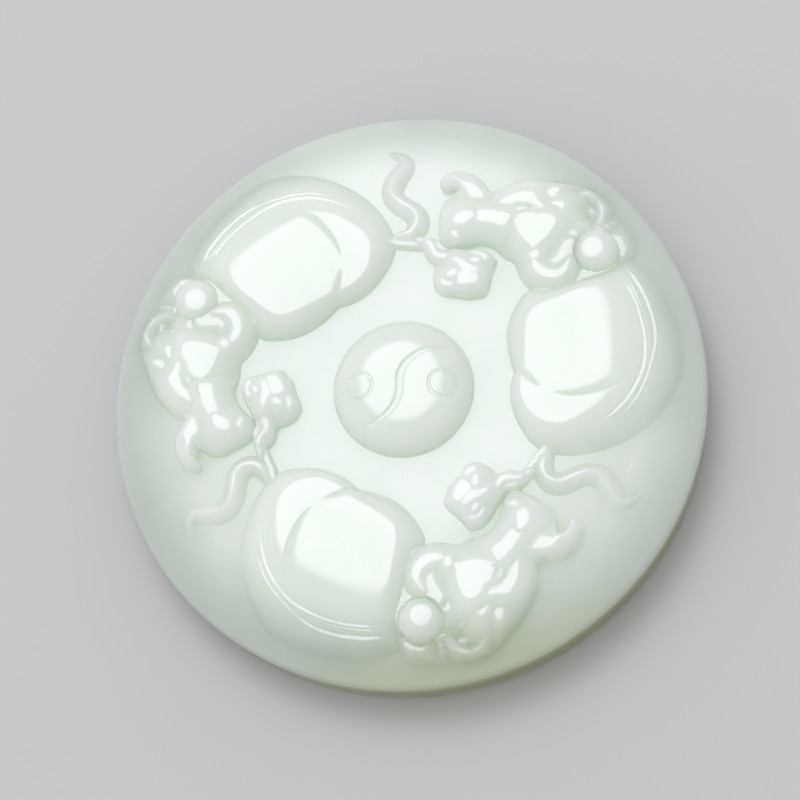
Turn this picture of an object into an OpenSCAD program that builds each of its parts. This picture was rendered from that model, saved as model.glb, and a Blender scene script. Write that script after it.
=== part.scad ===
// Round white jade pendant, lying on its flat back with the carved face up.
// Three recumbent oxen chase one another around a domed boss that is cut with
// a yin and yang groove. The whole pendant is one piece of stone.
// The origin is the middle of the flat back, +Z points out of the carved face
// and +Y points to the side that hangs uppermost.

/* [Disc] */
// Diameter of the pendant
disc_d = 58; // [45:1:75]
// Thickness from the flat back to the ground of the carving at the middle
disc_t = 7; // [5.5:0.1:10]
// How far the ground falls away towards the edge
ground_drop = 1; // [0.4:0.1:2]
// Radius of the rounding between the carved face and the side
front_round = 0.5; // [0.3:0.1:1.5]
// Radius of the rounding between the flat back and the side
back_round = 1.6; // [0.8:0.1:2]

/* [Relief] */
// Height of the oxen over the ground
relief_h = 2; // [0.8:0.1:3]
// Width of the rounded shoulder around each raised form
shoulder_w = 1.7; // [1.2:0.1:2.5]

/* [Boss] */
// Diameter of the domed boss in the middle
boss_d = 13.7; // [9:0.1:16]
// Height of the boss over the ground at its middle
boss_h = 2.1; // [1.2:0.1:3]
// Radius of the rounding around the boss
boss_round = 1.2; // [0.5:0.1:1.5]
// How much lower the boss is at its rounding than at its middle
boss_fall = 0.6; // [0.2:0.1:1]
// Width of the curved groove that parts the boss
groove_w = 0.65; // [0.4:0.05:1]
// Depth of the cuts in the boss
groove_depth = 0.35; // [0.2:0.05:0.6]
// Diameter of the ring cut around each of the boss's two eyes
eye_d = 2.7; // [1.8:0.1:3.4]
// Width of the ring cut
eye_cut_w = 0.35; // [0.2:0.05:0.5]

/* [Cord hole] */
// Diameter of the cord hole
hole_d = 2; // [1.2:0.1:2.4]
// Height over the back of the hole's mouth in the side
hole_up = 3.6; // [3.2:0.1:4.2]
// Distance of the hole's mouth in the back from the pendant's edge
hole_in = 5.5; // [4.5:0.1:8]

/* [Hidden] */

disc_r = disc_d / 2;
boss_r = boss_d / 2;
jade = [0.86, 0.9, 0.83];
ox_count = 3;
ox_turn = 360 / ox_count;

// The mesh of the face: ring i has six times i points, so that all of its
// triangles are about as large, and the last ring is where the side's rounding starts
face_rings = 38;
core_rings = 9;
step_r = (disc_r - front_round) / face_rings;
rim_count = 6 * face_rings;
snap_reach = 0.65 * step_r;
probe = 0.01 * step_r;
least_slope = 0.3;
front_turns = [45, 90];
back_turns = [0, 45, 90];

// The ground is flat out to this radius
level_r = disc_r / 3;
// Places and lengths of the forms below are hundredths of the pendant's
// radius, and their heights are hundredths of the relief's height
unit = disc_r / 100;
X = 0;
Y = 1;
HALF_W = 2;
TOP = 3;

// Rounded lobes: middle x, y, half length, half width, turn, height, and the
// width of the rounded shoulder in hundredths of shoulder_w
LOBES = [
    // flank that slopes off to the rim
    [62, 11, 29.5, 31, 0, 86, 200],
    // shoulder
    [59.5, 15.5, 26, 24, 0, 100, 100],
    // haunch
    [59, -1, 24.5, 22.5, 0, 97, 110],
    // neck
    [46, 43, 11, 12, 0, 74, 110],
    // collar under the pearl
    [62, 46, 14.5, 9, -15, 60, 90],
    // forehead
    [42.5, 55, 12.5, 11, 0, 98, 100],
    // brow
    [42.5, 63, 16.5, 12.5, 0, 86, 120],
    // muzzle
    [21.5, 58, 12.5, 11, 0, 86, 130],
    // back of the head
    [57, 62.5, 12, 10, -20, 74, 100],
    // tuft on the shoulder
    [71.5, 51, 6, 4.5, -30, 76, 60],
    // cloud fungus under the muzzle
    [15.5, 39.5, 8.5, 7.5, 0, 84, 90],
    [22.5, 40.5, 7, 9.5, 0, 84, 90],
    // pearl between the horn and the back
    [63, 46.5, 7.6, 7.6, 0, 108, 130]
];

// Raised strokes: rows of x, y, half width and height along each of them
STROKES = [
    // near horn
    [[42.5, 47, 3, 92], [43.5, 41.5, 3.6, 98], [48, 38.5, 3.2, 98], [53, 40, 2.6, 92], [55, 45, 1.8, 80]],
    // ear that stands against the horn
    [[48.5, 46, 1.8, 90], [53.5, 50, 3, 94], [55.5, 54, 1.8, 88]],
    // curled ear behind the head
    [[54, 64, 2.4, 84], [56, 68, 2.4, 88], [60.5, 69, 2.4, 88], [64, 66, 2.4, 88], [64.5, 61, 2.4, 86],
        [61.5, 56.5, 2.4, 84], [57, 57, 2.2, 80]],
    // far horn, a hook over the muzzle
    [[22.5, 66, 4.6, 88], [21, 72, 3.8, 86], [17, 75, 3.2, 78], [12, 73.5, 2.8, 68]],
    // ridge of the back
    [[70, 41, 2.4, 96], [78, 30, 2.4, 100], [82, 15, 2.4, 100], [80.5, 2, 2.4, 98], [75, -8, 2.2, 92],
        [65, -15, 1.8, 80]],
    // tail
    [[47.5, -19, 3, 82], [47.5, -27, 3.2, 78], [52.5, -31.5, 4, 74], [59, -30, 4, 72],
        [65.5, -28.5, 4.2, 68], [70, -33, 3.8, 62], [74, -37.5, 2, 50]],
    // stem of the cloud fungus, held by the ox in front
    [[1.5, 52, 3, 70], [7.5, 50, 2.8, 74], [13, 45, 3.2, 80]],
    // foot that rests on the stem
    [[44, -20, 3, 70], [43, -27, 3, 74], [38, -30, 3, 72]]
];

function mix(a, b, t) = a + (b - a) * t;
function cap(t) = min(1, max(0, t));
// Rounded shoulder: steep at its foot, level at its top
function shoulder(t) = cap(t) * (2 - cap(t));
function turned(p, a) = [p[X] * cos(a) + p[Y] * sin(a), p[Y] * cos(a) - p[X] * sin(a)];

// A form gives [depth, height] at the point p: how deep p lies inside the
// form's outline, negative outside it, and the height that the form has there
function lobe_at(p, lobe) =
    let (q = turned([p[X] - lobe[X] * unit, p[Y] - lobe[Y] * unit], lobe[4]),
        half = min(lobe[2], lobe[3]) * unit,
        depth = (1 - norm([q[X] / lobe[2], q[Y] / lobe[3]]) / unit) * half)
    [depth, lobe[5] / 100 * shoulder(depth / (shoulder_w * lobe[6] / 100))];

// The same for a stroke's stretch from row a to row b
function stretch_at(p, a, b) =
    let (start = [a[X], a[Y]] * unit,
        run = [b[X] - a[X], b[Y] - a[Y]] * unit,
        t = cap((p - start) * run / (run * run)),
        half = mix(a[HALF_W], b[HALF_W], t) * unit,
        depth = half - norm(p - start - run * t))
    [depth, mix(a[TOP], b[TOP], t) / 100 * shoulder(depth / half)];

// All the forms of the oxen at the point p
function forms_at(p) = [for (k = [0 : ox_count - 1])
    let (q = turned(p, k * ox_turn))
    each [
        for (lobe = LOBES) lobe_at(q, lobe),
        for (rows = STROKES) for (n = [1 : len(rows) - 1]) stretch_at(q, rows[n - 1], rows[n])
    ]];
function depth_at(p) = max([for (f = forms_at(p)) f[0]]);

// Height of all the oxen at the point p
function relief_at(p) = relief_h * max([for (f = forms_at(p)) f[1]]);

// A mesh point near the foot of the relief is moved onto it, so that the
// outlines of the oxen are clean lines
function snapped(p) =
    let (depth = depth_at(p))
    abs(depth) > snap_reach ? p :
    let (slope = [depth_at([p[X] + probe, p[Y]]) - depth, depth_at([p[X], p[Y] + probe]) - depth] / probe)
    p - slope * depth / max(slope * slope, least_slope);

// Height of the bare ground at the radius r
function ground(r) = disc_t - ground_drop * pow(cap((r - level_r) / (disc_r - level_r)), 2);

// One third of a ring is worked out and then turned for the other two
function ring(i) =
    let (r = i * step_r,
        third = [for (j = [0 : 2 * i - 1])
            let (grid_p = r * [cos(60 * j / i), sin(60 * j / i)],
                p = i < face_rings ? snapped(grid_p) : grid_p)
            [p[X], p[Y], ground(norm(p)) + (i < face_rings ? relief_at(p) : 0)]])
    [for (k = [0 : ox_count - 1]) for (v = third)
        let (p = turned(v, -k * ox_turn))
        [p[X], p[Y], v[2]]];

function rim_ring(r, z) = [for (j = [0 : rim_count - 1])
    [r * cos(360 * j / rim_count), r * sin(360 * j / rim_count), z]];

// Triangles between ring i and the next one, which has six points more
function start_of(i) = 3 * i * (i - 1) - 3 * core_rings * (core_rings - 1);
function on_ring(i, j) = start_of(i) + j % (6 * i);
function between(i) = [for (s = [0 : 5]) for (k = [0 : i])
    each [
        [on_ring(i, s * i + k), on_ring(i + 1, s * (i + 1) + k + 1), on_ring(i + 1, s * (i + 1) + k)],
        if (k < i) [on_ring(i, s * i + k), on_ring(i, s * i + k + 1), on_ring(i + 1, s * (i + 1) + k + 1)]
    ]];

// The pendant's body with the oxen: rings of the face, then of the rounded
// side, from the front to the back
module carved_disc() {
    front_z = ground(disc_r - front_round) - front_round;
    rounds = [
        for (a = front_turns) [disc_r - front_round + front_round * sin(a), front_z + front_round * cos(a)],
        for (a = back_turns) [disc_r - back_round + back_round * cos(a), back_round - back_round * sin(a)]
    ];
    face = [for (i = [core_rings : face_rings]) each ring(i)];
    side = [for (row = rounds) each rim_ring(row[0], row[1])];
    first = start_of(face_rings);
    bands = len(rounds);
    middle = [for (j = [6 * core_rings - 1 : -1 : 0]) j];
    back = [for (j = [0 : rim_count - 1]) first + bands * rim_count + j];
    skin = [for (b = [0 : bands - 1]) for (j = [0 : rim_count - 1])
        let (here = first + b * rim_count, next = (j + 1) % rim_count)
        [here + j, here + next, here + rim_count + next, here + rim_count + j]];
    polyhedron(
        points = concat(face, side),
        faces = concat([middle], [for (i = [core_rings : face_rings - 1]) each between(i)], skin, [back])
    );
}

// Domed boss with rounded edge, sunk a little into the ground
module boss_blank(lower) {
    sink = 1;
    flat_r = boss_r - boss_round;
    edge_h = boss_h - boss_fall;
    dome_r = (flat_r * flat_r + boss_fall * boss_fall) / (2 * boss_fall);
    intersection() {
        translate([0, 0, disc_t + boss_h - lower - dome_r]) sphere(dome_r, $fn = 180);
        union() {
            translate([0, 0, disc_t - sink]) cylinder(r = boss_r, h = sink + edge_h - boss_round, $fn = 96);
            translate([0, 0, disc_t - sink]) cylinder(r = flat_r, h = sink + boss_h, $fn = 96);
            translate([0, 0, disc_t + edge_h - boss_round]) rotate_extrude($fn = 96)
                translate([flat_r, 0]) circle(boss_round, $fn = 48);
        }
    }
}

// Ring wall used as a cutter, or the arc of one from angle 0 to span
module ring_wall(mid_r, w, span = 360) {
    rotate_extrude(angle = span, $fn = 72)
        translate([mid_r - w / 2, disc_t]) square([w, boss_h + 1]);
}

// The groove runs along two arcs that meet in the middle, each half as wide
// as the boss, and each half of the boss has its eye
module boss_cuts() {
    arc_r = boss_r / 2;
    arc_span = 105;
    groove_turn = 10;
    eye_share = 0.58;
    for (side = [0, 180]) rotate([0, 0, side + groove_turn]) {
        translate([arc_r, 0, 0]) rotate([0, 0, 180 - arc_span]) ring_wall(arc_r, groove_w, arc_span);
        rotate([0, 0, -groove_turn]) translate([boss_r * eye_share, 0, 0]) ring_wall(eye_d / 2, eye_cut_w);
    }
}

module boss() {
    boss_blank(groove_depth);
    difference() {
        boss_blank(0);
        boss_cuts();
    }
}

// Straight hole for a cord, from the side to the back, out of sight from the front
module cord_hole() {
    run = norm([hole_in, hole_up]);
    spare = hole_d;
    translate([0, disc_r - hole_in, 0])
        rotate([-atan2(hole_in, hole_up), 0, 0])
            translate([0, 0, -spare]) cylinder(d = hole_d, h = run + 2 * spare, $fn = 48);
}

module jade_pendant() {
    color(jade) difference() {
        union() {
            carved_disc();
            boss();
        }
        cord_hole();
    }
}

jade_pendant();
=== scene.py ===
import math

import bmesh
import bpy
import numpy as np
from mathutils import Matrix, Vector
from mathutils.geometry import delaunay_2d_cdt


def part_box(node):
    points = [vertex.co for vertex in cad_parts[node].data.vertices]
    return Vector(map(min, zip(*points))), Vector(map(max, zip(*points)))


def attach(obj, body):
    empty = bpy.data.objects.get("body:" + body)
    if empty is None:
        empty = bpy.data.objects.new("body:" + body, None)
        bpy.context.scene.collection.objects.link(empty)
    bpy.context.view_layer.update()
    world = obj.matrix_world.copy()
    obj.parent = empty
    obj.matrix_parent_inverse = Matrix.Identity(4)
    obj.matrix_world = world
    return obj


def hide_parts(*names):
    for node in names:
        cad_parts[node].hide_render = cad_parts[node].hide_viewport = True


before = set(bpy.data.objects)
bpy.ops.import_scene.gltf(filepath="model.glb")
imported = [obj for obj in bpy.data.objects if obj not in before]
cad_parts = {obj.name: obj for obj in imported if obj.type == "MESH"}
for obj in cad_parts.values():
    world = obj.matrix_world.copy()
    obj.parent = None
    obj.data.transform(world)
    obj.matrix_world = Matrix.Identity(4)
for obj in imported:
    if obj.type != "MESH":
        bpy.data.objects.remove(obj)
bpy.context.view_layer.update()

# Sizes of the pendant, in millimetres until a mesh is made of them
MM = 0.001
DISC_R = round(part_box("jade_pendant")[1].x / MM, 2)
GROUND_Z = 7.0  # the level middle of the ground
GROUND_DROP = 1.0  # how far the ground falls from there to the rim
LEVEL_R = DISC_R / 3  # where it begins to fall
FRONT_ROUND = 0.5
BACK_ROUND = 1.6
FACE_R = DISC_R - FRONT_ROUND  # the carved face without the rounding around it
OXEN = 3

# Boss in the middle
BOSS_R = 6.85
BOSS_H = 2.05
BOSS_FULL = 4.2  # above 2 its dome is fuller than an ellipse

# Cord hole, from the side at the top down to the back
HOLE_R = 1.0
HOLE_UP = 3.6
HOLE_IN = 5.5
HOLE_OVER = 5  # length of the cutter beyond the stone
HOLE_SIDES = 64

# Fineness of the mesh
RIM_COUNT = 516
BOSS_COUNT = 390
EYE_SHARE = 5  # the rings around its eyes have a fifth of its points
FRONT_COUNT = 7  # rings of points over the front rounding
BACK_COUNT = 7  # and over the back rounding
STEP = 0.12  # between neighbours in the lattice of the carved face
LINE_STEP = 0.125  # between neighbours on a line that the mesh follows
FINE_BEND = 0.0042  # where the face bends more, every lattice point is used
FINE_WIDER = 1  # and so many steps around there
MIDDLE_BEND = 0.005  # the same for every second point
MIDDLE_WIDER = 3
LATTICE_OVER = 4  # steps beyond the face for which the height is worked out
CLEAR_SHARE = 0.5  # a lattice point closer than this share of a step to a line is left out
LATTICE_MARGIN = 0.1  # between the lattice and the edge of the face
LINE_MARGIN = 0.15  # between the lines and the edge of the face
FOOT_HIDDEN = 0.3  # foot lines are left out where another form stands higher than this
MERGE_GAP = 0.0001  # points of the face that are closer become one
JOIN_GAP = 2e-6  # the same where face and side are joined, in metres
LID_GAP = 1e-7  # in metres
SHARP_ANGLE = 42  # in degrees
SMALL = 1e-6  # against divisions by zero
TINY = 1e-9  # the same, and for angles on the limit of a third

# Shape of the walls and of the stone around the flats
ARCH_SHARES = (0.55, 0.45)  # of a quarter circle and of a parabola
BOW_FROM = 1.8  # walls wider than this turn into parabolas over 1 mm
HEAD_TOP = 2.35
FUNGUS_TOP = 2.2
WALL_BLEND = 0.25  # rounding where a wall meets the stone around a flat
FLAT_REACH = 3.5  # how far the stone around a flat is worked out
FLAT_SPREAD = 0.1  # widens a flat
BAND_SPREAD = 0.06  # widens a narrow flat further
FALL_ROUND = 0.008  # rounding at the edge of a flat
FALL_BEND = 0.08  # how fast the fall around a flat gets steeper
LEAN = 0.0031  # slope of a flat towards the middle, for each millimetre of its radius

# Body of the ox
BODY_H = 2.05
BODY_LEVEL_R = 11.5  # the body leans from here outwards
BODY_MIDDLE_R = 15.8  # and has its stated height here
BODY_EASE_R = 19  # beyond this radius it follows the ground again
BODY_EASE = 1.6  # over about this distance
BODY_NARROW = 2  # walls from this width on turn into parabolas
BODY_WIDE = 4.5  # and are parabolas from this width on
CROWN_TILT = 0.05  # slope of the crown at its edge
CROWN_TILT_MOST = 0.25
CROWN_EASE = 0.9  # distance over which that slope runs out

# Soft foot of the body and the head towards the rim
SOFT_FOOT = 1.1  # how high it reaches
SOFT_R = (19.5, 24)  # the radii between which it sets in
SOFT_X = (8, 12)  # and the x between which it does
SOFT_SHARE = ([-6.5, -3, 2, 6, 14], [0, 0.3, 0.6, 1, 1.5])  # at some y, its share of the height

# Rows inside placed() were read in a flattened view of the photo, of the plane this high
READ_AT = 0.8
SLANT = (0.169, -0.31)  # how far the slanting view shifts a form there for each millimetre of height


# True places of such rows, of a form at the height h over the ground
def placed(h, rows):
    x, y = SLANT[0] * (h - READ_AT), SLANT[1] * (h - READ_AT)
    return [[round(row[0] + x, 2), round(row[1] + y, 2)] + row[2:] for row in rows]


# Foot lines of one ox, which is turned by thirds: x, y and the width of the rounded wall above
HEAD_FOOT = placed(0, [
    [3.55, 14.05, 1], [3.1, 14.6, 1.2], [2.9, 15.6, 1.5], [2.85, 17, 1.6], [2.9, 18, 1.5],
    [3.15, 18.7, 1.3], [3.5, 19.25, 1.2], [4.1, 19.65, 1], [4.75, 20.05, 0.8], [4.5, 20.38, 0.9],
    [4, 20.45, 1], [3.5, 20.35, 1], [3, 20.4, 1], [2.72, 20.9, 1], [2.8, 21.4, 1], [3.3, 21.9, 1],
    [4.1, 22.2, 1], [5, 22.3, 1.1], [6, 22.1, 1.2], [6.9, 21.5, 1.2], [7.5, 20.7, 1.1],
    [7.9, 19.95, 0.9], [8.15, 19.95, 1], [8.7, 20.4, 1.3], [9.6, 20.9, 1.5], [10.8, 21.3, 1.6],
    [12, 21.45, 1.7], [13.3, 21.5, 1.9], [15, 21.3, 2.2], [17, 21, 2.2], [18.5, 20.3, 2.4]]) + [
    [19.36, 19.6, 2.8], [20.4, 18.2, 3.4], [21.5, 16.7, 4.2], [22.3, 15.4, 4.8],
    [22.5, 14.3, 4.8], [22, 13.4, 3.6], [21.2, 12.8, 2.2], [20.4, 12.3, 1.2], [19.5, 11.3, 0.9],
    [18.1, 10.85, 1], [16.4, 10.35, 1.2], [14.86, 9.35, 1.5], [13.7, 9, 1.6]] + placed(0, [
    [12.6, 9.2, 1.6], [11.75, 10.1, 1.5], [11.1, 10.9, 1.5], [10.7, 11.8, 1.5], [10.6, 12.4, 1.5],
    [10.2, 12.75, 1.5]]) + [
    [9.26, 13.35, 1.5], [8.73, 13.95, 1.4], [8.24, 14.48, 1.3], [7.5, 14.76, 1.3],
    [6.16, 14.74, 1.2], [5.3, 14.45, 1.1]] + placed(0, [
    [4.6, 13.95, 1]])
FUNGUS_FOOT = [
    [2.63, 12.6, 1], [2.36, 11.46, 1.1], [2.45, 10.53, 1.2], [2.87, 9.72, 1.2], [3.43, 9.37, 1.2],
    [4.41, 9.36, 1.2], [5.29, 9.18, 1.3], [6.17, 9.01, 1.4], [6.81, 9.25, 1.4], [7.78, 9.4, 1.3],
    [8.07, 10.49, 1.2], [8.24, 11.65, 1.2], [8.53, 12.58, 1.1], [8.7, 13.05, 1], [8.35, 13.45, 1],
    [7.9, 13.85, 1], [7.2, 14.1, 1], [6.2, 14.15, 1], [5.4, 14.1, 0.9], [4.7, 14.2, 0.8],
    [4.1, 14.15, 0.8], [3.65, 14.3, 0.8], [3.25, 14.85, 0.8], [2.6, 15.2, 0.8], [1.6, 15.4, 0.8],
    [0.9, 15.5, 0.8], [0.35, 15.3, 0.7], [0.35, 14.95, 0.7], [0.9, 14.65, 0.7], [1.35, 14.2, 0.7],
    [1.5, 13.5, 0.8], [1.9, 13, 0.9]]
BODY_FOOT = [
    [11.62, 10.07], [10.8, 8.9], [10.1, 7.4], [9.8, 5.9], [9.85, 4.4], [10.3, 2.6],
    [10.6, 1.7], [10.6, 1.5], [10.35, 0.6], [10.3, -0.6], [10.6, -2.2], [11.4, -3.9],
    [12.6, -5.6], [14, -6.4], [16.2, -6.6], [18.5, -6.25], [20.6, -5.5],
    [22.6, -4.3], [23.9, -3.1], [25, -1.9], [25.9, -0.5], [26.7, 1.1], [27, 3],
    [26.6, 6], [25.6, 9], [24.2, 11.5], [22.4, 13.1], [21.2, 13.6], [20.3, 13.1],
    [19, 11.7], [17, 11], [15, 10.4], [13, 10]]
BODY_TOP = [
    [11.95, 4.5], [12, 6.5], [12.8, 7.7], [15.2, 8.8], [17.3, 9.6], [19.2, 9.6], [20, 8.5],
    [20.3, 6.3], [20.4, 3.6], [20.3, 1.8], [20.5, 0.4], [19.9, -0.8], [18.9, -1.9], [17.5, -2.8],
    [16.2, -3.6], [14.8, -3.9], [13.3, -3.4], [12.1, -2.3], [11.6, -1], [11.5, 0.3], [11.8, 1.8]]

# Level flats on top of the forms: height, steepness of the fall around them, and outline
HEAD_FLATS = [
    # nose
    (2.0, 0.4, placed(2, [
        [4.25, 17.1], [4.4, 17.5], [4.75, 17.85], [5.2, 17.97], [5.8, 17.92], [6.15, 17.75],
        [6.1, 17.5], [5.75, 17.3], [5.4, 16.98], [5, 16.75], [4.6, 16.78], [4.35, 16.9]])),
    # nostril
    (1.6, 0.4, placed(1.6, [
        [4.05, 15.85], [4.2, 15.95], [4.5, 15.75], [4.75, 15.5], [4.7, 15.32], [4.5, 15.35],
        [4.2, 15.6]])),
    # bridge of the nose
    (2.0, 0.4, placed(2, [
        [6.4, 18.05], [6.35, 17.6], [6.45, 17.1], [7, 17.02], [7.8, 16.98], [8.4, 16.78],
        [8.75, 16.6], [9.1, 16.55], [9.35, 16.85], [9.55, 17.2], [9.65, 17.6], [9.6, 17.95],
        [9, 18.05], [7.8, 18.05]])),
    # forehead
    (2.05, 0.4, placed(2.05, [
        [10.2, 17], [10.25, 17.35], [10.6, 17.62], [11.1, 17.8], [11.6, 17.85], [12, 17.7],
        [12.3, 17.58], [12.8, 17.7], [13.3, 17.7], [13.8, 17.5], [14.15, 17.15], [14.1, 16.7],
        [13.8, 16.1], [13.3, 15.4], [12.8, 14.95], [12.3, 14.6], [12.1, 14.3], [11.9, 14.35],
        [11.7, 14.75], [11.2, 15.1], [10.8, 15.6], [10.4, 16.3]])),
    # brow
    (2.0, 0.4, placed(2, [
        [8.6, 19], [9.1, 19.35], [9.6, 19.65], [10.3, 19.9], [11, 20.02], [11.8, 20],
        [12.1, 19.5], [12.4, 19], [12.95, 18.45], [12.6, 18.5], [12.1, 18.75], [11.4, 19.05],
        [10.7, 19.15], [10.2, 19.1], [9.6, 18.95], [9, 18.95]])),
    # eye
    (1.95, 0.7, placed(1.95, [
        [10.25, 18.2], [10.45, 18.42], [10.8, 18.5], [11.1, 18.45], [11.25, 18.3], [11, 18.15],
        [10.7, 18.05], [10.4, 18.05]])),
    # temple
    (1.9, 0.4, placed(1.9, [
        [13.5, 18.6], [13.7, 18.9], [14.1, 19], [14.85, 18.97], [14.9, 18.6], [14.75, 18.3],
        [14.5, 18.05], [14.2, 18.1], [13.8, 18.35]])),
    # poll
    (1.8, 0.5, placed(1.8, [
        [13.1, 20], [13.4, 20.3], [13.9, 20.45], [14.2, 20.65], [14.4, 20.4], [14.3, 20.05],
        [14, 19.8], [13.5, 19.75]])),
    # root of the horn
    (1.9, 0.8, placed(1.9, [
        [11.75, 13.55], [11.95, 13.85], [12.3, 13.95], [12.6, 13.8], [12.65, 13.45],
        [12.4, 13.15], [12.1, 13.05], [11.85, 13.2]])),
    # horn
    (2.0, 1.0, placed(2, [
        [12, 12.95], [12, 12.4], [12.3, 11.8], [12.8, 11.35], [13.4, 11.1], [14.1, 11.02],
        [14.7, 11.15], [15.2, 11.5], [15.5, 12.1], [15.65, 12.8], [15.7, 13.15], [15.55, 13.1],
        [15.4, 12.7], [15.1, 12.2], [14.6, 11.95], [14, 11.85], [13.4, 12], [12.9, 12.35],
        [12.5, 12.75], [12.25, 13]])),
    # ear
    (1.95, 0.9, placed(1.95, [
        [13.85, 13], [13.9, 12.8], [14.2, 12.65], [14.6, 12.7], [14.9, 13], [15.2, 13.25],
        [15.6, 13.3], [15.9, 13.35], [16, 14], [16, 14.6], [15.9, 15], [15.4, 15], [15.1, 14.8],
        [14.85, 14.3], [14.6, 13.75], [14.35, 13.3], [14.1, 13.1]])),
    # root of the ear
    (1.8, 0.5, placed(1.8, [
        [15.5, 15.35], [15.55, 15.75], [15.85, 15.98], [16.2, 15.85], [16.3, 15.5], [16.1, 15.2],
        [15.75, 15.12]])),
    # tuft of the shoulder
    (1.0, 0.4, [
        [19.6, 15.61], [20.4, 15.36], [21.29, 15.2], [21.41, 14.67], [21.15, 13.79],
        [20.69, 13.35], [20.44, 13.61], [20.27, 14.3], [19.93, 15]]),
    # folds of the neck
    (1.15, 0.7, placed(1.8, [
        [12.45, 9.95], [13, 10.1], [13.65, 10.05], [13.7, 9.85], [13.3, 9.65], [12.7, 9.6]])),
    (1.15, 0.7, placed(1.85, [
        [13.9, 9.75], [14, 10], [14.5, 10.2], [15, 10.35], [15.2, 10.2], [15, 9.95], [14.5, 9.7]])),
    # far horn
    (1.9, 0.5, placed(1.9, [
        [5.6, 20.1], [5.7, 19.65], [6.3, 19.6], [7, 19.5], [6.95, 19.8], [6.6, 20.3], [6.3, 20.7],
        [5.9, 21.05], [5.3, 21.1], [4.7, 21.3], [4.1, 21.6], [3.7, 21.5], [3.6, 21.35],
        [4.2, 21.35], [4.8, 21.1], [5.3, 20.75]])),
    # collar
    (1.2, 0.5, placed(1.5, [
        [16, 13.3], [16.1, 12.9], [16.35, 12.45], [16.8, 12.05], [17.4, 11.85], [18.6, 11.82],
        [19.4, 11.85], [19.35, 11.5], [19, 11.35], [18.2, 11.25], [17, 11.22], [16.4, 10.85],
        [15.8, 10.35], [15.3, 10.25], [15.6, 10.7], [16, 11.3], [16.15, 12], [15.95, 12.7]]))]
FUNGUS_FLATS = [
    # cap
    (1.95, 0.6, [
        [5.21, 11.4], [6.2, 11.22], [7.17, 11.04], [6.98, 10.41], [6.67, 10.07], [6.03, 9.93],
        [5.06, 9.94], [5.08, 10.76]]),
    # curl
    (1.9, 0.6, [
        [4.81, 11.73], [4.88, 11.26], [4.46, 10.98], [3.97, 10.93], [4.12, 11.33], [4.44, 11.56]]),
    # fold
    (2.0, 0.6, [
        [4.51, 12.71], [5.05, 12.73], [5.6, 12.43], [6.16, 12.02], [6.93, 11.67], [7.05, 11.5],
        [6.19, 11.47], [5.42, 11.6], [5.18, 12.15], [4.73, 12.5]]),
    # dot
    (1.85, 0.8, [
        [6.25, 12.66], [6.56, 12.83], [7, 12.77], [7.11, 12.6], [6.8, 12.37], [6.42, 12.37]])]

# Narrow flats that follow a line: height, steepness, and rows of x, y and half width
HEAD_BANDS = [
    # rim of the curled ear
    (1.3, 1.0, [
        [16.05, 19.5, 0.1], [16.45, 19.74, 0.12], [17.09, 19.87, 0.12], [17.74, 19.78, 0.1],
        [18.15, 19.55, 0.08]]),
    (1.12, 1.0, [
        [18.32, 19.35, 0.08], [18.62, 18.81, 0.15], [18.76, 17.91, 0.14], [18.6, 17.02, 0.14],
        [18.28, 16.49, 0.14], [17.92, 16.1, 0.1]]),
    # lobe in the ear
    (1.0, 1.0, [[17.05, 18.21, 0.06], [17.65, 18.21, 0.1], [17.93, 17.9, 0.06]]),
    # beads of hair
    (1.35, 1.2, [[16, 17.75, 0.06], [16.15, 17.6, 0.08]]),
    (1.35, 1.2, [[16.48, 17.32, 0.08], [16.6, 17.2, 0.06]]),
    (1.45, 1.2, [[16.62, 16.6, 0.08], [16.76, 16.48, 0.06]]),
    (1.4, 1.2, [[17.1, 16.3, 0.08], [17.3, 16.15, 0.1]]),
    (1.25, 1.2, [[18.3, 16.28, 0.06], [18.5, 16.1, 0.12], [18.8, 15.95, 0.1]]),
    (1.1, 1.2, [[19.05, 16.35, 0.06], [19.2, 16.5, 0.08]]),
    (0.9, 1.2, [[19.5, 16.8, 0.06], [19.64, 16.9, 0.06]]),
    (0.7, 1.2, [[19.85, 17.12, 0.05], [19.95, 17.2, 0.05]]),
    # tip of the far horn
    (1.6, 0.7, placed(1.6, [
        [4.4, 21.85, 0.05], [4.9, 21.95, 0.07], [5.4, 21.85, 0.07], [5.2, 21.6, 0.08]]))]
FUNGUS_BANDS = [
    # rims
    (1.7, 0.8, [
        [6.53, 13.4, 0.06], [6.85, 13.46, 0.08], [7.29, 13.34, 0.1], [7.57, 13.05, 0.08],
        [7.69, 12.8, 0.05]]),
    (1.65, 0.7, [[3.5, 10.53, 0.05], [3.79, 10.18, 0.1], [4.39, 10.06, 0.1], [5.03, 10.2, 0.1]]),
    # stem
    (1.5, 0.8, [
        [1.78, 14.73, 0.06], [2.24, 14.35, 0.12], [2.5, 13.65, 0.14], [2.89, 13.25, 0.18],
        [3.55, 13.2, 0.18], [4.16, 13.07, 0.16], [4.43, 12.9, 0.14]]),
    (1.35, 0.8, [[2.88, 14.7, 0.08], [3.17, 14.35, 0.1], [3.5, 13.95, 0.08]]),
    (1.35, 0.8, [[0.83, 14.85, 0.08], [1.25, 15.15, 0.1]]),
    (1.5, 0.8, [[4.35, 13.85, 0.06], [4.96, 13.7, 0.06]])]

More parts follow.
